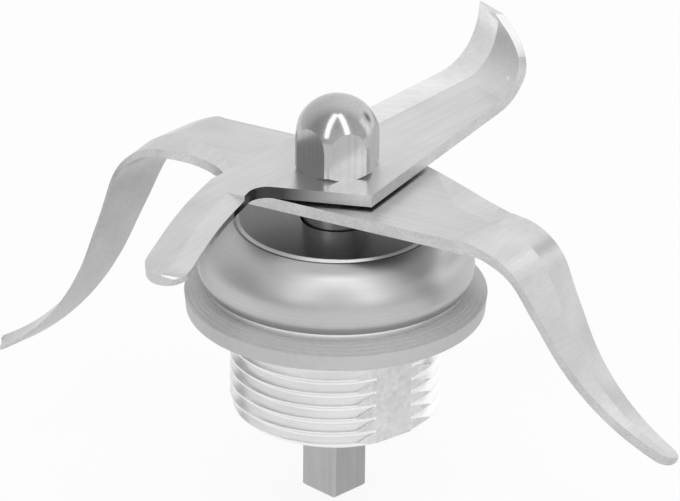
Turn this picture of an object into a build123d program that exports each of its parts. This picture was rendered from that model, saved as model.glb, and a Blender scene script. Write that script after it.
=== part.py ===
"""Screw-in blade unit of a blender bowl.

Millimetres, +Z up along the spindle. The origin is on the spindle axis, in the
plane where the underside of the seal ring sits on the bowl floor.
"""

import os
from math import cos, radians, sin, sqrt, tan

from build123d import *

# Fits
slide_fit = 0.02
thread_fit = 0.05
running_gap = 0.10
cover_gap = 0.40

# Threaded bush
thread_r = 17.9
pilot_r = 18.25
spigot_length = 18.9
mouth_chamfer = 1.3
wrench_flat = 16.05
wrench_angle = -51.5
wrench_top = -3.2
undercut = 0.4
flange_bottom = 1.0
flange_top = 5.3
register_r = 21.2
flange_lip = 1.0
flange_r = register_r + flange_lip
register_top = 7.2
boss_r = 14.0
boss_foot = 2.0
boss_top = 14.2
land_r = 9.4

# Seal ring
seal_reach = 3.5
seal_r = flange_r + seal_reach
seal_draft = 0.3
seal_foot_r = seal_r - seal_draft
seal_rim = 2.8
seal_step = 0.4
seal_tread = 0.65
seal_steps = 3
seal_ease = 0.2
seal_bore = pilot_r + seal_ease

# Bell cover
cover_wall = 1.2
cover_foot = 1.4
cover_foot_r = register_r + cover_foot
cover_bulge = 0.9
cover_max_r = cover_foot_r + cover_bulge
cover_waist = 8.0
shoulder_r = 8.3
shoulder_angle = 74.0
cover_top = 16.4
bead_run = 0.45
bead_inset = 0.49

# Ball bearings, 8 x 22 x 7
bearing_bore_r = 4.0
bearing_r = 11.0
bearing_width = 7.0
inner_ring_r = 6.0
outer_ring_bore_r = 9.0
ball_r = 1.98
pitch_r = (inner_ring_r + outer_ring_bore_r) / 2
ball_count = 7
race_gap = 0.06
pocket_gap = 0.10
cage_wall = 1.7
cage_inner_r = pitch_r - cage_wall / 2
cage_outer_r = pitch_r + cage_wall / 2
cage_height = 5.2
shield_wall = 0.3
shield_inset = 0.25
lower_bearing_z = -16.9
upper_bearing_z = 2.5

# Retaining ring in the mouth of the bush
circlip_thick = 1.0
circlip_width = 1.7
circlip_groove_r = 11.6
circlip_gap_angle = 50.0
circlip_eye_r = 1.3
circlip_eye_hole_r = 0.7

# Rotary lip seal
lip_seal_wall = 0.6
lip_root_r = 9.2
lip_flex = 0.9
lip_relief = 0.5
lip_neck = 1.4
lip_edge = 2.3
lip_depth = 3.2
lip_heel = 1.2
lip_hinge = 1.6
spring_ring_r = 7.3
spring_wire_r = 0.55

# Spindle
square_width = 8.0
square_chamfer = 0.5
square_bottom = -34.6
collar_r = 5.4
collar_height = 1.6
seat_flats = 6.4
stud_top = 35.1

# Hub sleeve and blade stack
hub_r = 5.75
blade_thick = 2.1
blade_seat = 21.4
shim_thick = 0.5
shim_r = 7.0

# Lower blade, both arms alike but for the notch at the root
lower_az = -27.3
lower_skew = 15.8
lower_half_width = 12.0
lower_lead = 3.1
lower_notch_t = 31.0
lower_notches = (((22.0, 7.2), 10.0), ((22.1, 4.2), 14.5))
lower_corner_r = 3.0
lower_bend = 30.0
lower_bends = ((10.0, -80.0), (None, 12.0), (30.0, 48.0))
lower_trail_angle = 26.4
lower_tip_width = 5.0
lower_bevel_entry = (15.0, 8.5)
lower_bevel_start = (22.0, 0.0)
lower_bevel_q = 5.6
lower_bevel_tip = 0.72

# Upper blade, one arm turned up and one nearly level
upper_az = 50.66
upper_skew = 15.36
upper_lead = 12.4
upper_bevel = 5.0
upper_bevel_start = 13.0
upper_bend = 38.0
upper_bends = ((9.5, 72.0),)
upper_reach = 51.6
upper_root_q = 5.2
upper_trail_slope = 0.56
upper_tip_swell = 7.6
upper_swell_run = 6.7
upper_heel = (-5.7, -12.2)
upper_shoulder = (-18.0, 12.4)
upper_shoulder_r = 9.0
upper_heel_r = 1.0
tongue_az = 248.0
tongue_lead = -9.5
tongue_trail = -17.3
tongue_root = 17.5
tongue_heel = 13.0
tongue_bend = 22.0
tongue_bends = ((60.0, -12.0),)
tongue_end = 44.6
tongue_bevel = 3.0
upper_notch_r = 3.5

# Ground cutting edges
bevel_drop = 1.6
root_drop = 0.6
tongue_drop = 0.9

# Domed nut
nut_flats = 13.0
nut_corner_r = 7.25
nut_dome_r = 7.2
nut_height = 12.6
nut_angle = -73.5
nut_chamfer = 0.6

shim_bottom = blade_seat + blade_thick
upper_seat = shim_bottom + shim_thick
nut_seat = upper_seat + blade_thick
spigot_bottom = -spigot_length

os.makedirs("parts", exist_ok=True)


def finish(builder, label):
    builder.part.label = label
    export_step(builder.part, f"parts/{label}.step")


def ahead(az):
    return Vector(cos(radians(az)), sin(radians(az)), 0)


def across(az):
    return Vector(-sin(radians(az)), cos(radians(az)), 0)


def heading(course):
    return Vector(1, 0, 0).get_signed_angle(course, Vector(0, 0, 1))


def flat_point(az, along, side):
    """Point of the flat blank, measured along a direction and to its left."""
    p = ahead(az) * along + across(az) * side
    return (p.X, p.Y)


def bent(start, bends, length):
    """Reach, rise and slope of a bent strip at a length along its side profile."""
    reach, rise, slope = min(length, start), 0.0, 0.0
    left = max(length - start, 0.0)
    for radius, turn in bends:
        if radius is None:
            run = min(left, turn)
            reach += run * cos(slope)
            rise += run * sin(slope)
        else:
            run = min(left, radius * abs(radians(turn)))
            sign = 1 if turn > 0 else -1
            ended = slope + sign * run / radius
            reach += sign * radius * (sin(ended) - sin(slope))
            rise -= sign * radius * (cos(ended) - cos(slope))
            slope = ended
        left -= run
    return reach + left * cos(slope), rise + left * sin(slope), slope


def station(az, top, start, bends, length):
    """Plane square to a bent strip, its origin on the upper face, x to the left."""
    reach, rise, slope = bent(start, bends, length)
    forward = ahead(az)
    return Plane(
        origin=forward * reach + Vector(0, 0, top + rise),
        x_dir=across(az),
        z_dir=forward * cos(slope) + Vector(0, 0, sin(slope)),
    )


def blade_section(trail, lead, bevel, drop):
    """Corners of a strip section whose left edge is ground down from above."""
    return (
        (trail, 0),
        (trail, -blade_thick),
        (lead, -blade_thick),
        (lead, -drop),
        (bevel, 0),
    )


def rounded(length, end, radius):
    """Share of the width left at a length near a rounded end."""
    inside = max(0.0, (length - (end - radius)) / radius)
    return sqrt(max(0.0, 1 - inside**2))


def bevel_cutter(start, az, width, drop):
    """Plane and outline of the wedge that a grinding pass takes off a flat blank."""
    plane = Plane(origin=start, x_dir=across(az), z_dir=ahead(az))
    over = 3 * width
    return plane, ((0, 0), (over, -drop * over / width), (over, 1), (0, 1))


# Threaded bush: spigot, flange, register for the cover and bearing boss
with BuildPart() as threaded_bush:
    with BuildSketch(Plane.XZ):
        with BuildLine():
            Polyline(
                (bearing_r, spigot_bottom),
                (thread_r - mouth_chamfer, spigot_bottom),
                (thread_r, spigot_bottom + mouth_chamfer),
                (thread_r, wrench_top),
                (pilot_r, wrench_top),
                (pilot_r, 0),
                (pilot_r - undercut, undercut),
                (pilot_r - undercut, flange_bottom),
                (flange_r, flange_bottom),
                (flange_r, flange_top),
                (register_r, flange_top),
                (register_r, register_top),
                (boss_r + boss_foot, register_top),
                (boss_r, register_top + boss_foot),
                (boss_r, boss_top),
                (bearing_r, boss_top),
                (bearing_r, upper_bearing_z),
                (land_r, upper_bearing_z),
                (land_r, lower_bearing_z + bearing_width),
                (bearing_r, lower_bearing_z + bearing_width),
                (bearing_r, lower_bearing_z),
                (circlip_groove_r, lower_bearing_z),
                (circlip_groove_r, lower_bearing_z - circlip_thick - 0.1),
                (bearing_r, lower_bearing_z - circlip_thick - 0.1),
                close=True,
            )
        make_face()
    revolve(axis=Axis.Z)
    with BuildSketch(Plane.XY.offset(spigot_bottom)):
        with PolarLocations(wrench_flat + thread_r / 2, 2, wrench_angle):
            Rectangle(thread_r, 2 * thread_r)
    extrude(amount=wrench_top - spigot_bottom, mode=Mode.SUBTRACT)
finish(threaded_bush, "threaded_bush")

# Seal ring: stepped silicone ring that wraps the flange of the bush
with BuildPart() as seal_ring:
    with BuildSketch(Plane.XZ):
        with BuildLine():
            steps = []
            for i in range(seal_steps + 1):
                tread = seal_r - i * seal_tread
                steps.append((tread, seal_rim + i * seal_step))
                steps.append((tread - seal_tread, seal_rim + i * seal_step))
            seat_r = flange_r + slide_fit
            steps[-1] = (seat_r, steps[-1][1])
            Polyline(
                (seal_bore, 0),
                (seal_foot_r, 0),
                *steps,
                (seat_r, flange_bottom),
                (seal_bore, flange_bottom),
                close=True,
            )
        make_face()
    revolve(axis=Axis.Z)
finish(seal_ring, "seal_ring")

# Bell cover: spun cup with a rolled foot, round shoulder and beaded flat top
with BuildPart() as bell_cover:
    shoulder_x = cover_max_r - shoulder_r
    shoulder_end = (
        shoulder_x + shoulder_r * cos(radians(shoulder_angle)),
        cover_waist + shoulder_r * sin(radians(shoulder_angle)),
    )
    bead_r = shoulder_end[0] - bead_inset
    inner_end = (
        shoulder_x + (shoulder_r - cover_wall) * cos(radians(shoulder_angle)),
        cover_waist + (shoulder_r - cover_wall) * sin(radians(shoulder_angle)),
    )
    with BuildSketch(Plane.XZ):
        with BuildLine():
            foot_out = ThreePointArc(
                (cover_foot_r, flange_top),
                (cover_max_r - 0.18, (flange_top + cover_waist) / 2 + 0.2),
                (cover_max_r, cover_waist),
            )
            CenterArc((shoulder_x, cover_waist), shoulder_r, 0, shoulder_angle)
            Polyline(
                shoulder_end,
                (bead_r, shoulder_end[1]),
                (bead_r - bead_run, cover_top),
                (hub_r + cover_gap, cover_top),
                (hub_r + cover_gap, cover_top - cover_wall),
                (inner_end[0], cover_top - cover_wall),
                inner_end,
            )
            CenterArc((shoulder_x, cover_waist), shoulder_r - cover_wall, 0, shoulder_angle)
            Polyline(
                (cover_max_r - cover_wall, cover_waist),
                (register_r + slide_fit, register_top),
                (register_r + slide_fit, flange_top),
                (cover_foot_r, flange_top),
            )
        make_face()
    revolve(axis=Axis.Z)
    bead = bell_cover.edges().filter_by(GeomType.CIRCLE).filter_by(
        lambda e: abs(e.radius - (bead_r - bead_run)) < 1e-3
    )
    fillet(bead, 0.25)
finish(bell_cover, "bell_cover")

# Two sealed ball bearings
for place, base in (("upper", upper_bearing_z), ("lower", lower_bearing_z)):
    middle = base + bearing_width / 2
    with BuildPart() as outer_ring:
        with BuildSketch(Plane.XZ):
            with Locations(((outer_ring_bore_r + bearing_r - slide_fit) / 2, middle)):
                Rectangle(bearing_r - slide_fit - outer_ring_bore_r, bearing_width)
            with Locations((pitch_r, middle)):
                Circle(ball_r + race_gap, mode=Mode.SUBTRACT)
        revolve(axis=Axis.Z)
        rims = outer_ring.edges().filter_by(GeomType.CIRCLE)
        chamfer(rims.filter_by(lambda e: abs(e.radius - bearing_r + slide_fit) < 1e-3), 0.3)
    finish(outer_ring, f"{place}_bearing_outer_ring")

    with BuildPart() as inner_ring:
        with BuildSketch(Plane.XZ):
            with Locations(((inner_ring_r + bearing_bore_r + slide_fit) / 2, middle)):
                Rectangle(inner_ring_r - bearing_bore_r - slide_fit, bearing_width)
            with Locations((pitch_r, middle)):
                Circle(ball_r + race_gap, mode=Mode.SUBTRACT)
        revolve(axis=Axis.Z)
    finish(inner_ring, f"{place}_bearing_inner_ring")

    with BuildPart() as balls:
        with Locations(Plane.XY.offset(middle)):
            with PolarLocations(pitch_r, ball_count):
                Sphere(ball_r)
    finish(balls, f"{place}_bearing_balls")

    with BuildPart() as cage:
        with BuildSketch(Plane.XY.offset(middle - cage_height / 2)):
            Circle(cage_outer_r)
            Circle(cage_inner_r, mode=Mode.SUBTRACT)
        extrude(amount=cage_height)
        for i in range(ball_count):
            with BuildSketch(Plane(origin=(0, 0, middle), z_dir=ahead(360 * i / ball_count))):
                Circle(ball_r + pocket_gap)
        extrude(amount=bearing_r, mode=Mode.SUBTRACT)
    finish(cage, f"{place}_bearing_cage")

    with BuildPart() as shields:
        for floor in (base + shield_inset, base + bearing_width - shield_inset - shield_wall):
            with BuildSketch(Plane.XY.offset(floor)):
                Circle(outer_ring_bore_r)
                Circle(inner_ring_r + running_gap, mode=Mode.SUBTRACT)
            extrude(amount=shield_wall)
    finish(shields, f"{place}_bearing_shields")

# Spacer sleeve between the two inner rings
with BuildPart() as spacer_sleeve:
    with BuildSketch(Plane.XY.offset(lower_bearing_z + bearing_width)):
        Circle(collar_r)
        Circle(bearing_bore_r + slide_fit, mode=Mode.SUBTRACT)
    extrude(amount=upper_bearing_z - lower_bearing_z - bearing_width)
finish(spacer_sleeve, "spacer_sleeve")

# Rotary lip seal over the upper bearing: pressed case, rubber lip and garter spring
seal_floor = upper_bearing_z + bearing_width
with BuildPart() as shaft_seal_case:
    case_r = bearing_r - slide_fit
    with BuildSketch(Plane.XZ):
        with BuildLine():
            Polyline(
                (case_r, seal_floor),
                (case_r, boss_top),
                (lip_root_r, boss_top),
                (lip_root_r, boss_top - lip_seal_wall),
                (case_r - lip_seal_wall, boss_top - lip_seal_wall),
                (case_r - lip_seal_wall, seal_floor),
                close=True,
            )
        make_face()
    revolve(axis=Axis.Z)
finish(shaft_seal_case, "shaft_seal_case")

with BuildPart() as shaft_seal_lip:
    lip_top = boss_top - lip_seal_wall
    with BuildSketch(Plane.XZ):
        with BuildLine():
            Polyline(
                (case_r - lip_seal_wall, lip_top),
                (hub_r + lip_flex, lip_top),
                (hub_r + lip_relief, lip_top - lip_neck),
                (hub_r + running_gap, lip_top - lip_edge),
                (hub_r + lip_relief, lip_top - lip_depth),
                (hub_r + lip_heel, lip_top - lip_depth),
                (hub_r + lip_hinge, lip_top - lip_flex),
                (case_r - lip_seal_wall, lip_top - lip_flex),
                close=True,
            )
        make_face()
        with Locations((spring_ring_r, lip_top - lip_edge)):
            Circle(spring_wire_r, mode=Mode.SUBTRACT)
    revolve(axis=Axis.Z)
finish(shaft_seal_lip, "shaft_seal_lip")

with BuildPart() as garter_spring:
    with BuildSketch(Plane.XZ):
        with Locations((spring_ring_r, lip_top - lip_edge)):
            Circle(spring_wire_r)
    revolve(axis=Axis.Z)
finish(garter_spring, "garter_spring")

# Retaining ring below the lower bearing, with two eyes for pliers
with BuildPart() as retaining_ring:
    clip_r = circlip_groove_r - 0.05
    with BuildSketch(Plane.XY.offset(lower_bearing_z - circlip_thick)):
        Circle(clip_r)
        Circle(clip_r - circlip_width, mode=Mode.SUBTRACT)
        half_gap = radians(circlip_gap_angle / 2)
        with BuildLine():
            Polyline(
                (0, 0),
                (2 * clip_r * cos(half_gap), 2 * clip_r * sin(half_gap)),
                (2 * clip_r * cos(half_gap), -2 * clip_r * sin(half_gap)),
                close=True,
            )
        make_face(mode=Mode.SUBTRACT)
        eye_ring = clip_r - circlip_width - circlip_eye_r + 0.8
        with PolarLocations(eye_ring, 2, circlip_gap_angle / 2, 360 - circlip_gap_angle, endpoint=True):
            Circle(circlip_eye_r)
            Circle(circlip_eye_hole_r, mode=Mode.SUBTRACT)
    extrude(amount=circlip_thick)
finish(retaining_ring, "retaining_ring")

# Spindle: square drive, collar, journal and flatted stud
with BuildPart() as drive_shaft:
    collar_bottom = lower_bearing_z - collar_height
    with BuildSketch(Plane.XY.offset(square_bottom)):
        Rectangle(square_width, square_width, rotation=45)
        chamfer(vertices(), square_chamfer)
    extrude(amount=collar_bottom - square_bottom)
    chamfer(faces().sort_by(Axis.Z)[0].edges(), square_chamfer)
    with BuildSketch(Plane.XY.offset(collar_bottom)):
        Circle(collar_r)
    extrude(amount=collar_height)
    with BuildSketch(Plane.XY.offset(lower_bearing_z)):
        Circle(bearing_bore_r)
    extrude(amount=blade_seat - lower_bearing_z)
    with BuildSketch(Plane.XY.offset(blade_seat)):
        Circle(bearing_bore_r)
        Rectangle(2 * bearing_bore_r, seat_flats, mode=Mode.INTERSECT)
    extrude(amount=stud_top - blade_seat)
finish(drive_shaft, "drive_shaft")

# Hub sleeve that carries the blades above the cover
with BuildPart() as blade_hub:
    with BuildSketch(Plane.XY.offset(seal_floor)):
        Circle(hub_r)
        Circle(bearing_bore_r + slide_fit, mode=Mode.SUBTRACT)
    extrude(amount=blade_seat - seal_floor)
finish(blade_hub, "blade_hub")

# Grinding passes over the roots of the lower arms: one along the arm, limited by its run-in
lower_top = blade_seat + blade_thick
lower_fold = lower_az - lower_skew
lower_rise = tan(radians(lower_skew))
lower_root_lead = lower_bend * lower_rise + lower_lead / cos(radians(lower_skew))
lower_root_trail = lower_bend * lower_rise - lower_half_width / cos(radians(lower_skew))
root_grinds = []
for turn in (0, 180):
    with BuildPart() as root_grind:
        entry = Vector(*flat_point(lower_az + turn, *lower_bevel_entry), lower_top)
        first = Vector(*flat_point(lower_az + turn, *lower_bevel_start), lower_top)
        last = Vector(*flat_point(lower_fold + turn, lower_bend, lower_bevel_q), lower_top)
        edge = Vector(*flat_point(lower_fold + turn, lower_bend, lower_root_lead), lower_top)
        grind_az = heading(last - first)
        width = (edge - first).dot(across(grind_az))
        for az, mode in ((grind_az, Mode.ADD), (heading(first - entry), Mode.INTERSECT)):
            plane, outline = bevel_cutter(first - ahead(az) * lower_bend, az, width, root_drop)
            with BuildSketch(plane):
                with BuildLine():
                    Polyline(*outline, close=True)
                make_face()
            extrude(amount=2 * lower_bend, mode=mode)
    root_grinds.append(root_grind.part)

# Lower blade: flat pinwheel hub, two arms bent down and flared outwards
with BuildPart() as lower_blade:
    with BuildSketch(Plane.XY.offset(blade_seat)):
        with BuildLine():
            for turn, notch, other in zip((0, 180), lower_notches, reversed(lower_notches)):
                Polyline(
                    flat_point(lower_az + turn, -other[1], -lower_half_width),
                    flat_point(lower_fold + turn, lower_bend, lower_root_trail),
                    flat_point(lower_fold + turn, lower_bend, lower_root_lead),
                    flat_point(lower_az + turn, lower_notch_t, lower_lead),
                )
                ThreePointArc(
                    flat_point(lower_az + turn, lower_notch_t, lower_lead),
                    flat_point(lower_az + turn, *notch[0]),
                    flat_point(lower_az + turn, notch[1], lower_half_width),
                )
        make_face()
        hub_corners = vertices().sort_by_distance((0, 0))[:2]
        fillet(hub_corners, lower_corner_r)
    extrude(amount=blade_thick)
    for root_grind in root_grinds:
        add(root_grind, mode=Mode.SUBTRACT)
    tip_drop = tan(radians(lower_trail_angle))
    taper_end = lower_bend + (lower_root_lead - lower_root_trail - lower_tip_width) / (tip_drop - lower_rise)
    lower_end = taper_end + lower_tip_width / 2
    arm_marks = [lower_bend + (taper_end - lower_bend) * i / 14 for i in range(15)]
    tip_marks = [taper_end + lower_tip_width / 2 * sin(radians(a)) for a in (0, 18, 36, 52, 66, 78)]
    for turn, marks in ((0, arm_marks), (0, tip_marks), (180, arm_marks), (180, tip_marks)):
        for length in marks:
            lead = lower_root_lead + (length - lower_bend) * lower_rise
            trail = lower_root_trail + (length - lower_bend) * tip_drop
            share = (length - lower_bend) / (lower_end - lower_bend)
            bevel_share = (lower_root_lead - lower_bevel_q) / (lower_root_lead - lower_root_trail)
            cut = bevel_share + (lower_bevel_tip - bevel_share) * share
            drop = root_drop + (bevel_drop - root_drop) * min(1.0, 3 * share)
            if length > taper_end:
                middle = (lead + lead - lower_tip_width) / 2
                half = lower_tip_width / 2 * rounded(length, lower_end, lower_tip_width / 2)
                lead, trail = middle + half, middle - half
            with BuildSketch(station(lower_fold + turn, lower_top, lower_bend, lower_bends, length)):
                with BuildLine():
                    Polyline(
                        *blade_section(trail, lead, lead - cut * (lead - trail), drop),
                        close=True,
                    )
                make_face()
        loft(ruled=marks is tip_marks)
    with BuildSketch(Plane.XY.offset(blade_seat)):
        Circle(bearing_bore_r + slide_fit)
        Rectangle(3 * bearing_bore_r, seat_flats + 2 * slide_fit, mode=Mode.INTERSECT)
    extrude(amount=blade_thick, mode=Mode.SUBTRACT)
finish(lower_blade, "lower_blade")

# Shim washer between the blades
with BuildPart() as blade_shim:
    with BuildSketch(Plane.XY.offset(shim_bottom)):
        Circle(shim_r)
        Circle(bearing_bore_r + slide_fit, mode=Mode.SUBTRACT)
    extrude(amount=shim_thick)
finish(blade_shim, "blade_shim")

# Upper blade: one arm turned up, one level tongue that droops a little
with BuildPart() as upper_blade:
    top = upper_seat + blade_thick
    fold = upper_az - upper_skew
    rise = tan(radians(upper_skew))
    slant = cos(radians(upper_skew))
    root_lead = upper_bend * rise + upper_lead / slant
    root_bevel = upper_bend * rise + upper_bevel / slant
    with BuildSketch(Plane.XY.offset(upper_seat)):
        with BuildLine():
            Polyline(
                flat_point(upper_az, *upper_heel),
                flat_point(fold, upper_bend, upper_root_q),
                flat_point(fold, upper_bend, root_lead),
                flat_point(upper_az, *upper_shoulder),
                flat_point(tongue_az, tongue_bend, tongue_trail),
                flat_point(tongue_az, tongue_bend, tongue_lead),
                flat_point(tongue_az, tongue_heel, tongue_lead),
                close=True,
            )
        make_face()
        outline_corners = vertices()
        inner_corner = outline_corners.sort_by_distance(flat_point(tongue_az, tongue_heel, tongue_lead))[0]
        shoulder_corner = outline_corners.sort_by_distance(flat_point(upper_az, *upper_shoulder))[0]
        heel_corner = outline_corners.sort_by_distance(flat_point(upper_az, *upper_heel))[0]
        fillet(inner_corner, upper_notch_r)
        fillet(shoulder_corner, upper_shoulder_r)
        fillet(heel_corner, upper_heel_r)
    extrude(amount=blade_thick)
    first = Vector(*flat_point(upper_az, upper_bevel_start, upper_bevel), top)
    plane, outline = bevel_cutter(first, upper_az, upper_lead - upper_bevel, bevel_drop)
    with BuildSketch(plane):
        with BuildLine():
            Polyline(*outline, close=True)
        make_face()
    extrude(amount=upper_reach, mode=Mode.SUBTRACT)
    first = Vector(*flat_point(tongue_az, tongue_root, tongue_lead - tongue_bevel), top)
    plane, outline = bevel_cutter(first, tongue_az, tongue_bevel, tongue_drop)
    with BuildSketch(plane):
        with BuildLine():
            Polyline(*outline, close=True)
        make_face()
    extrude(amount=tongue_end, mode=Mode.SUBTRACT)
    for i in range(11):
        length = upper_bend + (upper_reach - upper_bend) * i / 10
        past = length - upper_bend
        swell = max(0.0, 1 - (upper_reach - length) / upper_swell_run)
        trail = upper_root_q + upper_trail_slope * past + upper_tip_swell * swell**2
        bevel = max(root_bevel + rise * past, trail + 0.5)
        with BuildSketch(station(fold, top, upper_bend, upper_bends, length)):
            with BuildLine():
                Polyline(
                    *blade_section(trail, root_lead + rise * past, bevel, bevel_drop),
                    close=True,
                )
            make_face()
    loft()
    tongue_half = (tongue_lead - tongue_trail) / 2
    tongue_mid = (tongue_lead + tongue_trail) / 2
    tongue_round = tongue_end - tongue_half
    marks = [tongue_bend + (tongue_round - tongue_bend) * i / 5 for i in range(6)]
    marks += [tongue_round + tongue_half * sin(radians(a)) for a in (20, 40, 58, 72, 82)]
    for length in marks:
        half = tongue_half * rounded(length, tongue_end, tongue_half)
        bevel_width = tongue_bevel * half / tongue_half
        with BuildSketch(station(tongue_az, top, tongue_bend, tongue_bends, length)):
            with BuildLine():
                Polyline(
                    *blade_section(
                        tongue_mid - half,
                        tongue_mid + half,
                        tongue_mid + half - bevel_width,
                        tongue_drop,
                    ),
                    close=True,
                )
            make_face()
    loft()
    with BuildSketch(Plane.XY.offset(upper_seat)):
        Circle(bearing_bore_r + slide_fit)
        Rectangle(3 * bearing_bore_r, seat_flats + 2 * slide_fit, mode=Mode.INTERSECT)
    extrude(amount=blade_thick, mode=Mode.SUBTRACT)
finish(upper_blade, "upper_blade")

# Domed nut: turned dome over a hexagon, blind bore for the stud
with BuildPart() as cap_nut:
    dome_centre = nut_seat + nut_height - nut_dome_r
    with BuildSketch(Plane.XZ):
        with BuildLine():
            Line((0, nut_seat), (nut_corner_r - nut_chamfer, nut_seat))
            Line((nut_corner_r - nut_chamfer, nut_seat), (nut_corner_r, nut_seat + nut_chamfer))
            Line((nut_corner_r, nut_seat + nut_chamfer), (nut_corner_r, dome_centre))
            Line((nut_corner_r, dome_centre), (nut_dome_r, dome_centre))
            CenterArc((0, dome_centre), nut_dome_r, 0, 90)
            Line((0, nut_seat + nut_height), (0, nut_seat))
        make_face()
    revolve(axis=Axis.Z)
    with BuildSketch(Plane.XY.offset(nut_seat)):
        RegularPolygon(nut_flats / 2, 6, major_radius=False, rotation=nut_angle + 30)
    extrude(amount=nut_height, mode=Mode.INTERSECT)
    with BuildSketch(Plane.XY.offset(nut_seat)):
        Circle(bearing_bore_r + thread_fit)
    extrude(amount=stud_top - nut_seat + 0.3, mode=Mode.SUBTRACT)
finish(cap_nut, "cap_nut")
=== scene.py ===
"""Blade unit of a blender bowl: finishes, cut thread, studio and camera."""

import math

import bmesh
import bpy
from mathutils import Matrix, Vector


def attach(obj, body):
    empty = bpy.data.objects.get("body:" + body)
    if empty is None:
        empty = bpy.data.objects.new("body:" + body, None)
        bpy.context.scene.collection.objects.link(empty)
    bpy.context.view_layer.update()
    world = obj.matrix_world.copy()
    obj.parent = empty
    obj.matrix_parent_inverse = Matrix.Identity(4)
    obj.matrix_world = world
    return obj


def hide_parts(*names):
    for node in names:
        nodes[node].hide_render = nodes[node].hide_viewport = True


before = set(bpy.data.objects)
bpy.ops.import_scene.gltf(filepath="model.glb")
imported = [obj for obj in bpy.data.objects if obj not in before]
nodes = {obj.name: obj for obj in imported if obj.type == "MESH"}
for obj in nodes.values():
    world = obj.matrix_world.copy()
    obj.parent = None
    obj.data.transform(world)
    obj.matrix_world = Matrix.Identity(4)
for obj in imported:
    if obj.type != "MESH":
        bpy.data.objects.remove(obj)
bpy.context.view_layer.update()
scene = bpy.context.scene

MM = 0.001

# Blades: azimuth of each in degrees, and how far a face leans across its blade
LOWER_AZIMUTH = -27.3
UPPER_AZIMUTH = 50.7
GROUND_LEAN = 0.10
SHEARED_LEAN = 0.72

# Upper blade: start of its bevel along the arm in millimetres, lean that the bend itself gives
UPPER_BEVEL_FROM = 9.0
UPPER_BEND_LEAN = 0.40

# Upper blade: the notch beside the tongue, the lean of its walls, the stretch where its painted
# shade lightens
NOTCH_X = (-17.0, 6.0)
NOTCH_Y = -8.0
NOTCH_LEAN = 0.3
NOTCH_SHADE_SPAN = (-9.0, 4.0)

# Lower blade: tilt of its underside, which gets painted shade, and the grinds at the arm roots by
# tilt, height and radius
UNDERSIDE_TILT = -0.05
ROOT_TILT = (0.99, 0.9985)
ROOT_Z = 22.4
ROOT_SPAN = (17.0, 27.5)

# Cover and spindle: height of the cover's flat top, which gets painted shade, and lean of the
# spindle's faces that get painted shade
COVER_TOP_Z = 15.0
SHADED_SIDE_LEAN = 0.3

# Share of a normal along a direction from which a face looks straight that way
STRAIGHT = 0.999

# Bush below the flange, in millimetres and degrees
THREAD_R = 17.9
THREAD_DEPTH = 1.40
PITCH = 2.45
CREST_AT = -5.09
CREST_HALF = 0.13
ROOT_HALF = 0.17
RUN_OUT = 1.0
SPIGOT_BOTTOM = -18.9
MOUTH_CHAMFER = 1.3
WRENCH_TOP = -3.2
WRENCH_FLAT = 16.05
WRENCH_ANGLE = -51.5

# Bush from the neck up and down through the bore
PILOT_R = 18.25
UNDERCUT = 0.4
FLANGE_R = 22.2
FLANGE_BOTTOM = 1.0
FLANGE_TOP = 5.3
REGISTER_R = 21.2
REGISTER_TOP = 7.2
BOSS_R = 14.0
BOSS_FOOT = 2.0
BOSS_TOP = 14.2
BEARING_R = 11.0
UPPER_SEAT = 2.5
LAND_R = 9.4
LOWER_SEAT = -9.9
GROOVE_R = 11.6
GROOVE_TOP = -16.9
GROOVE_BOTTOM = -18.0

# Grid of the thread: lines on a flank, and steps round it in degrees, fine where the flats cut it
FLANK_STEPS = 8
LINES_PER_TURN = 2 + 2 * FLANK_STEPS
COARSE_STEP = 1.5
FINE_STEP = 0.25
FINE_ZONE = (12.5, 27.5)

# Mesh of the bush: points and slivers closer than these are merged (metres), sharp edges (degrees)
WELD = 1e-7
SLIVER = 1e-8
SHARP_ANGLE = 24.0

# Studio, in metres: level of the surround from front to back, its sides, and one dark flag
TENT = ((0.0, 0.95), (0.05, 0.80), (0.20, 0.64), (0.45, 0.62), (0.62, 0.95), (0.75, 1.08))
TENT_LEFT = 0.72
TENT_RIGHT = 1.15
TENT_SIDE = 0.9
FLAG_AT = (0.80, 0.52, 0.30)
FLAG_EDGE = (math.cos(math.radians(11)), math.cos(math.radians(5)))
FLAG_LEVEL = 0.2
FLOOR_Z = -0.0355
FLOOR_SPAN = 4.0
FLOOR_PAPER = 0.85
FLOOR_WHITE = 0.9
LAMP_AIM = (0, 0, 0.01)
SOFTBOXES = (
    ("front_left", (-0.45, -0.75, 1.00), (0.28, 1.80), 3.6),
    ("front_right", (0.45, -0.75, 1.00), (0.28, 1.80), 3.6),
    ("side_strip", (1.00, 0.10, 0.35), (0.30, 0.70), 0.3),
)

# Camera at the photograph's angle, its place and lens in millimetres
ELEVATION = math.radians(26.0)
ROLL = math.radians(0.58)
CAMERA_AT = (0.64, -1214.8, 602.5)
LENS = 423.5
SENSOR = 36.0
CLIP_END = 20.0


# Node helpers


def add(tree, kind, **values):
    node = tree.nodes.new(kind)
    for key, value in values.items():
        setattr(node, key, value)
    return node


def new_material(name):
    mat = bpy.data.materials.new(name)
    mat.use_nodes = True
    mat.node_tree.nodes.clear()
    return mat, mat.node_tree, add(mat.node_tree, "ShaderNodeOutputMaterial")


def new_finish(name):
    mat, tree, out = new_material(name)
    shader = add(tree, "ShaderNodeBsdfPrincipled")
    tree.links.new(shader.outputs[0], out.inputs[0])
    return mat, tree, shader


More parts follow.
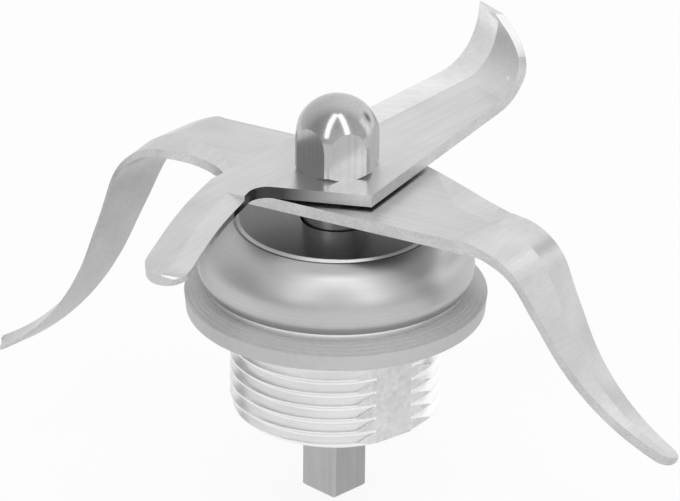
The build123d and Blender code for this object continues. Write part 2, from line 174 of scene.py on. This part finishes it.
def point(tree, scale=(1, 1, 1), turn=0.0):
    """Object coordinates in millimetres, turned about the spindle, then scaled along each axis."""
    coord = add(tree, "ShaderNodeTexCoord")
    spin = add(tree, "ShaderNodeMapping")
    spin.inputs["Rotation"].default_value = (0, 0, math.radians(turn))
    tree.links.new(coord.outputs["Object"], spin.inputs["Vector"])
    stretch = add(tree, "ShaderNodeMapping")
    stretch.inputs["Scale"].default_value = tuple(s / MM for s in scale)
    tree.links.new(spin.outputs[0], stretch.inputs["Vector"])
    return stretch.outputs[0]


def lathe_point(tree, scale):
    """Coordinates that stay the same all the way round the spindle."""
    coord = add(tree, "ShaderNodeTexCoord")
    flat = add(tree, "ShaderNodeVectorMath", operation="MULTIPLY")
    flat.inputs[1].default_value = (1, 1, 0)
    tree.links.new(coord.outputs["Object"], flat.inputs[0])
    radius = add(tree, "ShaderNodeVectorMath", operation="LENGTH")
    tree.links.new(flat.outputs[0], radius.inputs[0])
    split = add(tree, "ShaderNodeSeparateXYZ")
    tree.links.new(coord.outputs["Object"], split.inputs[0])
    joined = add(tree, "ShaderNodeCombineXYZ")
    tree.links.new(radius.outputs["Value"], joined.inputs[0])
    tree.links.new(split.outputs[2], joined.inputs[2])
    stretch = add(tree, "ShaderNodeMapping")
    stretch.inputs["Scale"].default_value = (scale / MM, 1, scale / MM)
    tree.links.new(joined.outputs[0], stretch.inputs["Vector"])
    return stretch.outputs[0]


def noise(tree, vector, detail, rough=0.55):
    tex = add(tree, "ShaderNodeTexNoise")
    tex.inputs["Scale"].default_value = 1.0
    tex.inputs["Detail"].default_value = detail
    tex.inputs["Roughness"].default_value = rough
    tree.links.new(vector, tex.inputs["Vector"])
    return tex.outputs["Fac"]


def spread(tree, value, low, high, source=(0.3, 0.7)):
    remap = add(tree, "ShaderNodeMapRange")
    remap.inputs["From Min"].default_value = source[0]
    remap.inputs["From Max"].default_value = source[1]
    remap.inputs["To Min"].default_value = low
    remap.inputs["To Max"].default_value = high
    tree.links.new(value, remap.inputs["Value"])
    return remap.outputs["Result"]


def shade(tree, value, dark, light, source=(0.3, 0.7)):
    mix = add(tree, "ShaderNodeMix", data_type="RGBA")
    mix.inputs["A"].default_value = (*dark, 1)
    mix.inputs["B"].default_value = (*light, 1)
    tree.links.new(spread(tree, value, 0, 1, source), mix.inputs["Factor"])
    return mix.outputs["Result"]


def mean(tree, first, second, weight):
    mix = add(tree, "ShaderNodeMix", data_type="FLOAT")
    mix.inputs["Factor"].default_value = weight
    tree.links.new(first, mix.inputs["A"])
    tree.links.new(second, mix.inputs["B"])
    return mix.outputs["Result"]


def bump(tree, shader, height, depth):
    """Fine relief, its depth in millimetres."""
    relief = add(tree, "ShaderNodeBump")
    relief.inputs["Strength"].default_value = 1.0
    relief.inputs["Distance"].default_value = depth * MM
    tree.links.new(height, relief.inputs["Height"])
    tree.links.new(relief.outputs[0], shader.inputs["Normal"])


def grey(level):
    return (level, level, level)


# Finishes


def coat_metal(tree, shader, tone, dark, light, rough, swing):
    """Bare metal whose colour and polish follow one tone."""
    tree.links.new(shade(tree, tone, dark, light), shader.inputs["Base Color"])
    tree.links.new(spread(tree, tone, rough + swing, rough - swing), shader.inputs["Roughness"])
    shader.inputs["Metallic"].default_value = 1.0


def sheet_metal(name, turn, dark, light, rough, line=2.2, depth=0.004):
    """Satin rolled sheet: brush lines along one direction and cloudy polish."""
    mat, tree, shader = new_finish(name)
    lines = noise(tree, point(tree, (0.035, line, line), turn), detail=5, rough=0.7)
    cloud = noise(tree, point(tree, (0.05, 0.09, 0.09), turn), detail=2)
    coat_metal(tree, shader, mean(tree, lines, cloud, 0.5), dark, light, rough, 0.05)
    shader.inputs["Anisotropic"].default_value = 0.35
    bump(tree, shader, lines, depth)
    return mat


def turned_metal(name, dark, light, rough, ring=3.0, depth=0.003, aniso=0.5):
    """Metal finished on a lathe: fine rings round the spindle."""
    mat, tree, shader = new_finish(name)
    rings = noise(tree, lathe_point(tree, ring), detail=4, rough=0.65)
    cloud = noise(tree, point(tree, (0.10, 0.10, 0.10)), detail=2)
    coat_metal(tree, shader, mean(tree, rings, cloud, 0.4), dark, light, rough, 0.04)
    shader.inputs["Anisotropic"].default_value = aniso
    tangent = add(tree, "ShaderNodeTangent", direction_type="RADIAL", axis="Z")
    tree.links.new(tangent.outputs[0], shader.inputs["Tangent"])
    bump(tree, shader, rings, depth)
    return mat


def drawn_metal(name, dark, light, rough):
    """Bar stock with draw lines along the spindle."""
    mat, tree, shader = new_finish(name)
    lines = noise(tree, point(tree, (3.0, 3.0, 0.05)), detail=4, rough=0.7)
    cloud = noise(tree, point(tree, (0.2, 0.2, 0.12)), detail=2)
    coat_metal(tree, shader, mean(tree, lines, cloud, 0.4), dark, light, rough, 0.06)
    bump(tree, shader, lines, 0.005)
    return mat


def mottled_metal(name, dark, light, rough, grain, depth=0.01):
    """Sheared or milled metal: torn, speckled and without direction."""
    mat, tree, shader = new_finish(name)
    specks = noise(tree, point(tree, (grain, grain, grain)), detail=5, rough=0.7)
    cloud = noise(tree, point(tree, (0.22, 0.22, 0.22)), detail=2)
    coat_metal(tree, shader, mean(tree, specks, cloud, 0.35), dark, light, rough, 0.06)
    bump(tree, shader, specks, depth)
    return mat


def painted_shade_metal(name, dark, light, rough, span):
    """Ground edge with painted shade that goes from dark to light along X over a span in
    millimetres.
    """
    mat, tree, shader = new_finish(name)
    split = add(tree, "ShaderNodeSeparateXYZ")
    tree.links.new(point(tree), split.inputs[0])
    tree.links.new(shade(tree, split.outputs[0], dark, light, span), shader.inputs["Base Color"])
    grain = noise(tree, point(tree, (2.0, 2.0, 0.3)), detail=4)
    tree.links.new(spread(tree, grain, rough + 0.06, rough - 0.06), shader.inputs["Roughness"])
    shader.inputs["Metallic"].default_value = 1.0
    bump(tree, shader, grain, 0.006)
    return mat


def soft_polymer(name, dark, light, rough, grain=1.2, depth=0.02):
    """Moulded rubber or nylon: fine mottle and a soft skin."""
    mat, tree, shader = new_finish(name)
    mottle = noise(tree, point(tree, (grain, grain, grain)), detail=4)
    cloud = noise(tree, point(tree, (0.08, 0.08, 0.2)), detail=2)
    tone = mean(tree, mottle, cloud, 0.5)
    tree.links.new(shade(tree, tone, dark, light), shader.inputs["Base Color"])
    tree.links.new(spread(tree, mottle, rough + 0.06, rough - 0.06), shader.inputs["Roughness"])
    bump(tree, shader, mottle, depth)
    return mat


def dress(mat, *names):
    for name in names:
        mesh = nodes[name].data
        mesh.materials.clear()
        mesh.materials.append(mat)


def dress_faces(mesh, mat, wanted):
    """Gives the faces that answer the question (centre in mm, normal) a finish of their own."""
    mesh.materials.append(mat)
    index = len(mesh.materials) - 1
    for face in mesh.polygons:
        if wanted(face.center / MM, face.normal):
            face.material_index = index


# Blades


def heading(azimuth):
    """Level direction at an azimuth in degrees."""
    return Vector((math.cos(math.radians(azimuth)), math.sin(math.radians(azimuth)), 0))


def ground_metal(name, azimuth, dark, light, rough):
    """Bevel ground across the blade."""
    return sheet_metal(name, 90 - azimuth, dark, light, rough, line=1.6, depth=0.006)


def dress_blade(name, azimuth, satin, bevel, bevel_from=-math.inf, bend_lean=0.0):
    """Satin faces, bevels that are ground from a place along the blade onward, sheared edges."""
    along = heading(azimuth)
    across = heading(azimuth + 90)

    def is_ground(place, normal):
        least = GROUND_LEAN + bend_lean * (1 - normal.z)
        return least < abs(normal.dot(across)) < SHEARED_LEAN and place.dot(along) > bevel_from

    def is_sheared(place, normal):
        return abs(normal.dot(across)) >= SHEARED_LEAN

    dress(sheet_metal(f"{name}_steel", -azimuth, *satin, 0.32), name)
    mesh = nodes[name].data
    dress_faces(mesh, ground_metal(f"{name}_ground", azimuth, *bevel, 0.30), is_ground)
    sheared = mottled_metal(f"{name}_sheared", grey(0.48), grey(0.72), 0.40, grain=2.4)
    dress_faces(mesh, sheared, is_sheared)


def is_underside(place, normal):
    lean = abs(normal.dot(heading(LOWER_AZIMUTH + 90)))
    return normal.z < UNDERSIDE_TILT and lean < SHEARED_LEAN


def is_root_grind(place, normal):
    tilted = ROOT_TILT[0] < normal.z < ROOT_TILT[1]
    return tilted and place.z > ROOT_Z and ROOT_SPAN[0] < place.xy.length < ROOT_SPAN[1]


def is_notch(place, normal):
    upright = abs(normal.z) < NOTCH_LEAN
    faces_front = normal.y < -NOTCH_LEAN and normal.x > -NOTCH_LEAN
    inside = NOTCH_X[0] < place.x < NOTCH_X[1] and place.y < NOTCH_Y
    return upright and faces_front and inside


dress_blade("lower_blade", LOWER_AZIMUTH, (grey(0.53), grey(0.68)), (grey(0.58), grey(0.70)))
# The downward faces of the lower blade get a darker copy of its satin steel: painted shade.
dress_faces(
    nodes["lower_blade"].data,
    sheet_metal("lower_blade_underside_painted_shade", -LOWER_AZIMUTH, grey(0.44), grey(0.56), 0.36),
    is_underside,
)
dress_faces(
    nodes["lower_blade"].data,
    ground_metal("lower_blade_root_grind", LOWER_AZIMUTH, grey(0.56), grey(0.72), 0.31),
    is_root_grind,
)
dress_blade(
    "upper_blade",
    UPPER_AZIMUTH,
    (grey(0.54), grey(0.69)),
    (grey(0.66), grey(0.90)),
    UPPER_BEVEL_FROM,
    UPPER_BEND_LEAN,
)
# The notch walls get painted shade: near black at the tongue, lightening along X.
dress_faces(
    nodes["upper_blade"].data,
    painted_shade_metal("upper_blade_notch_painted_shade", grey(0.06), grey(0.60), 0.30, NOTCH_SHADE_SPAN),
    is_notch,
)

# Cover, nut, spindle and seal

dress(turned_metal("cover_steel", grey(0.50), grey(0.58), 0.38, depth=0.001), "bell_cover")
# The cover's flat top gets a darker copy of the turned steel: painted shade.
dress_faces(
    nodes["bell_cover"].data,
    turned_metal("cover_top_painted_shade", grey(0.32), grey(0.40), 0.24, depth=0.001),
    lambda place, normal: normal.z > STRAIGHT and place.z > COVER_TOP_Z,
)
dress(drawn_metal("nut_steel", grey(0.40), grey(0.54), 0.17), "cap_nut")
dress(drawn_metal("spindle_steel", grey(0.44), grey(0.52), 0.40), "drive_shaft", "spacer_sleeve")
# The faces of the square drive end that face right get a darker copy of the spindle steel: painted
# shade.
dress_faces(
    nodes["drive_shaft"].data,
    drawn_metal("spindle_steel_painted_shade", grey(0.36), grey(0.44), 0.40),
    lambda place, normal: place.z < SPIGOT_BOTTOM and normal.x > SHADED_SIDE_LEAN,
)
dress(turned_metal("hub_steel", grey(0.34), grey(0.44), 0.34), "blade_hub", "blade_shim")
dress(
    soft_polymer("seal_silicone", grey(0.52), grey(0.57), 0.5, grain=0.8, depth=0.003),
    "seal_ring",
)

# Bearings, lip seal and circlip

dress(soft_polymer("lip_rubber", grey(0.02), grey(0.035), 0.5), "shaft_seal_lip")
dress(
    soft_polymer("cage_nylon", (0.30, 0.16, 0.08), (0.38, 0.21, 0.11), 0.45),
    "upper_bearing_cage",
    "lower_bearing_cage",
)
dress(
    turned_metal("bearing_steel", grey(0.52), grey(0.60), 0.14, depth=0.001),
    "upper_bearing_outer_ring",
    "upper_bearing_inner_ring",
    "upper_bearing_balls",
    "lower_bearing_outer_ring",
    "lower_bearing_inner_ring",
    "lower_bearing_balls",
)
dress(
    turned_metal("plated_steel", grey(0.50), grey(0.60), 0.28),
    "upper_bearing_shields",
    "lower_bearing_shields",
    "shaft_seal_case",
)
dress(
    drawn_metal("spring_steel", grey(0.10), grey(0.16), 0.35),
    "retaining_ring",
    "garter_spring",
)

# Bush with its cut thread

BUSH_PROFILE = (
    (PILOT_R, WRENCH_TOP),
    (PILOT_R, 0.0),
    (PILOT_R - UNDERCUT, UNDERCUT),
    (PILOT_R - UNDERCUT, FLANGE_BOTTOM),
    (FLANGE_R, FLANGE_BOTTOM),
    (FLANGE_R, FLANGE_TOP),
    (REGISTER_R, FLANGE_TOP),
    (REGISTER_R, REGISTER_TOP),
    (BOSS_R + BOSS_FOOT, REGISTER_TOP),
    (BOSS_R, REGISTER_TOP + BOSS_FOOT),
    (BOSS_R, BOSS_TOP),
    (BEARING_R, BOSS_TOP),
    (BEARING_R, UPPER_SEAT),
    (LAND_R, UPPER_SEAT),
    (LAND_R, LOWER_SEAT),
    (BEARING_R, LOWER_SEAT),
    (BEARING_R, GROOVE_TOP),
    (GROOVE_R, GROOVE_TOP),
    (GROOVE_R, GROOVE_BOTTOM),
    (BEARING_R, GROOVE_BOTTOM),
    (BEARING_R, SPIGOT_BOTTOM),
)
FLANK = PITCH / 2 - CREST_HALF - ROOT_HALF


def thread_radius(turn, z):
    """Radius of the cut thread at a turn (radians) and height, with its flats and mouth chamfer."""
    step = (z - CREST_AT) / PITCH - turn / math.tau
    away = abs(step - round(step)) * PITCH
    sunk = min(1.0, max(0.0, (away - CREST_HALF) / FLANK))
    fade = min(1.0, max(0.0, (WRENCH_TOP - z) / RUN_OUT))
    r = THREAD_R - THREAD_DEPTH * fade * sunk
    r = min(r, THREAD_R - MOUTH_CHAMFER + z - SPIGOT_BOTTOM)
    for side in (0.0, math.pi):
        lean = math.cos(turn - math.radians(WRENCH_ANGLE) - side)
        if lean > 0:
            r = min(r, WRENCH_FLAT / lean)
    return r


def thread_lines():
    """Offsets of the grid lines that follow the helix, from below the mouth to the neck."""
    marks = [-CREST_HALF, CREST_HALF]
    for step in range(1, FLANK_STEPS + 1):
        marks.append(CREST_HALF + FLANK * step / FLANK_STEPS)
        marks.append(PITCH - CREST_HALF - FLANK * step / FLANK_STEPS)
    first = math.floor((SPIGOT_BOTTOM - CREST_AT) / PITCH) - 2
    last = math.ceil((WRENCH_TOP - CREST_AT) / PITCH) + 1
    return sorted(CREST_AT + PITCH * turn + mark for turn in range(first, last) for mark in marks)


def turn_steps():
    """Angles of the grid, close together where the flats cut through the thread."""
    steps = []
    at = 0.0
    while at < 360 - FINE_STEP / 2:
        steps.append(math.radians(at))
        from_flat = abs((at - WRENCH_ANGLE + 90) % 180 - 90)
        at += FINE_STEP if FINE_ZONE[0] < from_flat < FINE_ZONE[1] else COARSE_STEP
    return steps


def bush_rings(lines):
    """Rings of (radius, turn, height): the helix lines, then the profile above and inside."""
    turns = turn_steps()
    rings = []
    for offset in lines:
        ring = []
        for turn in turns:
            z = min(WRENCH_TOP, max(SPIGOT_BOTTOM, offset + PITCH * turn / math.tau))
            ring.append((thread_radius(turn, z), turn, z))
        rings.append(ring)
    return rings + [[(r, turn, z) for turn in turns] for r, z in BUSH_PROFILE]


def build_bush():
    lines = thread_lines()
    last_line = len(lines) - 1
    bm = bmesh.new()
    grid = []
    for ring in bush_rings(lines):
        row = []
        for r, turn, z in ring:
            row.append(bm.verts.new((r * math.cos(turn) * MM, r * math.sin(turn) * MM, z * MM)))
        grid.append(row)
    for k, row in enumerate(grid):
        above = (k + 1) % len(grid)
        for i in range(len(row)):
            after = (i + 1) % len(row)
            low, high = k, above
            if after == 0 and k < last_line:
                # A full turn on, a helix line goes on as the line one pitch higher.
                low = min(k + LINES_PER_TURN, last_line)
                high = min(above + LINES_PER_TURN, last_line)
            corners = [row[i], grid[low][after], grid[high][after], grid[above][i]]
            corners = [v for j, v in enumerate(corners) if v not in corners[:j]]
            if len(corners) > 2:
                bm.faces.new(corners)
    bmesh.ops.remove_doubles(bm, verts=bm.verts, dist=WELD)
    bmesh.ops.dissolve_degenerate(bm, edges=bm.edges, dist=SLIVER)
    bmesh.ops.recalc_face_normals(bm, faces=bm.faces)
    mesh = bpy.data.meshes.new("bush_threaded")
    bm.to_mesh(mesh)
    bm.free()
    mesh.polygons.foreach_set("use_smooth", [True] * len(mesh.polygons))
    mesh.set_sharp_from_angle(angle=math.radians(SHARP_ANGLE))
    piece = bpy.data.objects.new("bush_threaded", mesh)
    scene.collection.objects.link(piece)
    return piece


bush = build_bush()
bush.data.materials.append(
    turned_metal("bush_aluminium", grey(0.86), grey(0.94), 0.28, ring=2.0, depth=0.002, aniso=0.3)
)
milled = heading(WRENCH_ANGLE)
dress_faces(
    bush.data,
    mottled_metal("milled_aluminium", grey(0.56), grey(0.80), 0.40, grain=0.9, depth=0.012),
    lambda place, normal: place.z < WRENCH_TOP and abs(normal.dot(milled)) > STRAIGHT,
)
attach(bush, "housing")
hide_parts("threaded_bush")

# Studio: pale floor, white surround, soft lamps


def studio_world():
    """Light tent: white behind, grey overhead, dimmer on the left, with one soft dark flag."""
    world = bpy.data.worlds.new("studio")
    scene.world = world
    world.use_nodes = True
    tree = world.node_tree
    tree.nodes.clear()
    coord = add(tree, "ShaderNodeTexCoord")
    split = add(tree, "ShaderNodeSeparateXYZ")
    tree.links.new(coord.outputs["Generated"], split.inputs[0])

    ramp = add(tree, "ShaderNodeValToRGB")
    tree.links.new(spread(tree, split.outputs[1], 0, 1, (-1, 1)), ramp.inputs[0])
    stops = ramp.color_ramp.elements
    while len(stops) < len(TENT):
        stops.new(0.5)
    for stop, (place, tone) in zip(stops, TENT):
        stop.position = place
        stop.color = (*grey(tone), 1)

    sides = spread(tree, split.outputs[0], TENT_LEFT, TENT_RIGHT, (-TENT_SIDE, TENT_SIDE))
    toward = add(tree, "ShaderNodeVectorMath", operation="DOT_PRODUCT")
    toward.inputs[1].default_value = Vector(FLAG_AT).normalized()
    tree.links.new(coord.outputs["Generated"], toward.inputs[0])
    flag = spread(tree, toward.outputs["Value"], 1.0, FLAG_LEVEL, FLAG_EDGE)
    level = add(tree, "ShaderNodeMath", operation="MULTIPLY")
    tree.links.new(sides, level.inputs[0])
    tree.links.new(flag, level.inputs[1])

    tent = add(tree, "ShaderNodeBackground")
    tree.links.new(ramp.outputs["Color"], tent.inputs["Color"])
    tree.links.new(level.outputs[0], tent.inputs["Strength"])
    sweep = add(tree, "ShaderNodeBackground")
    sweep.inputs["Strength"].default_value = 1.0
    path = add(tree, "ShaderNodeLightPath")
    pick = add(tree, "ShaderNodeMixShader")
    tree.links.new(path.outputs["Is Camera Ray"], pick.inputs[0])
    tree.links.new(tent.outputs[0], pick.inputs[1])
    tree.links.new(sweep.outputs[0], pick.inputs[2])
    out = add(tree, "ShaderNodeOutputWorld")
    tree.links.new(pick.outputs[0], out.inputs[0])


def floor_material():
    """White to the camera and in the metal, with the object's shadow, and clear from below."""
    mat, tree, out = new_material("floor_white")
    path = add(tree, "ShaderNodeLightPath")
    seen = add(tree, "ShaderNodeMath", operation="MAXIMUM")
    tree.links.new(path.outputs["Is Camera Ray"], seen.inputs[0])
    tree.links.new(path.outputs["Is Glossy Ray"], seen.inputs[1])
    share = add(tree, "ShaderNodeMath", operation="MULTIPLY")
    share.inputs[1].default_value = FLOOR_WHITE
    tree.links.new(seen.outputs[0], share.inputs[0])

    paper = add(tree, "ShaderNodeBsdfDiffuse")
    paper.inputs["Color"].default_value = (*grey(FLOOR_PAPER), 1)
    glow = add(tree, "ShaderNodeEmission")
    pick = add(tree, "ShaderNodeMixShader")
    tree.links.new(share.outputs[0], pick.inputs[0])
    tree.links.new(paper.outputs[0], pick.inputs[1])
    tree.links.new(glow.outputs[0], pick.inputs[2])

    clear = add(tree, "ShaderNodeBsdfTransparent")
    side = add(tree, "ShaderNodeNewGeometry")
    one_sided = add(tree, "ShaderNodeMixShader")
    tree.links.new(side.outputs["Backfacing"], one_sided.inputs[0])
    tree.links.new(pick.outputs[0], one_sided.inputs[1])
    tree.links.new(clear.outputs[0], one_sided.inputs[2])
    tree.links.new(one_sided.outputs[0], out.inputs[0])
    return mat


def studio_floor():
    mesh = bpy.data.meshes.new("floor")
    signs = ((-1, -1), (1, -1), (1, 1), (-1, 1))
    corners = [(x * FLOOR_SPAN, y * FLOOR_SPAN, FLOOR_Z) for x, y in signs]
    mesh.from_pydata(corners, [], [(0, 1, 2, 3)])
    mesh.materials.append(floor_material())
    floor = bpy.data.objects.new("floor", mesh)
    scene.collection.objects.link(floor)


def softbox(name, place, size, power):
    data = bpy.data.lights.new(name, "AREA")
    data.shape = "RECTANGLE"
    data.size, data.size_y = size
    data.energy = power
    lamp = bpy.data.objects.new(name, data)
    lamp.location = place
    lamp.rotation_mode = "QUATERNION"
    lamp.rotation_quaternion = (Vector(LAMP_AIM) - Vector(place)).to_track_quat("-Z", "Y")
    scene.collection.objects.link(lamp)


def studio_camera():
    data = bpy.data.cameras.new("camera")
    data.sensor_width = SENSOR
    data.lens = LENS
    data.clip_end = CLIP_END
    camera = bpy.data.objects.new("camera", data)
    scene.collection.objects.link(camera)
    level_right = Vector((1, 0, 0))
    level_up = Vector((0, math.sin(ELEVATION), math.cos(ELEVATION)))
    back = Vector((0, -math.cos(ELEVATION), math.sin(ELEVATION)))
    up = level_up * math.cos(ROLL) - level_right * math.sin(ROLL)
    right = level_right * math.cos(ROLL) + level_up * math.sin(ROLL)
    pose = Matrix((right, up, back)).transposed().to_4x4()
    pose.translation = Vector(CAMERA_AT) * MM
    camera.matrix_world = pose
    scene.camera = camera


studio_world()
studio_floor()
for box in SOFTBOXES:
    softbox(*box)
studio_camera()
scene.view_settings.view_transform = "Standard"
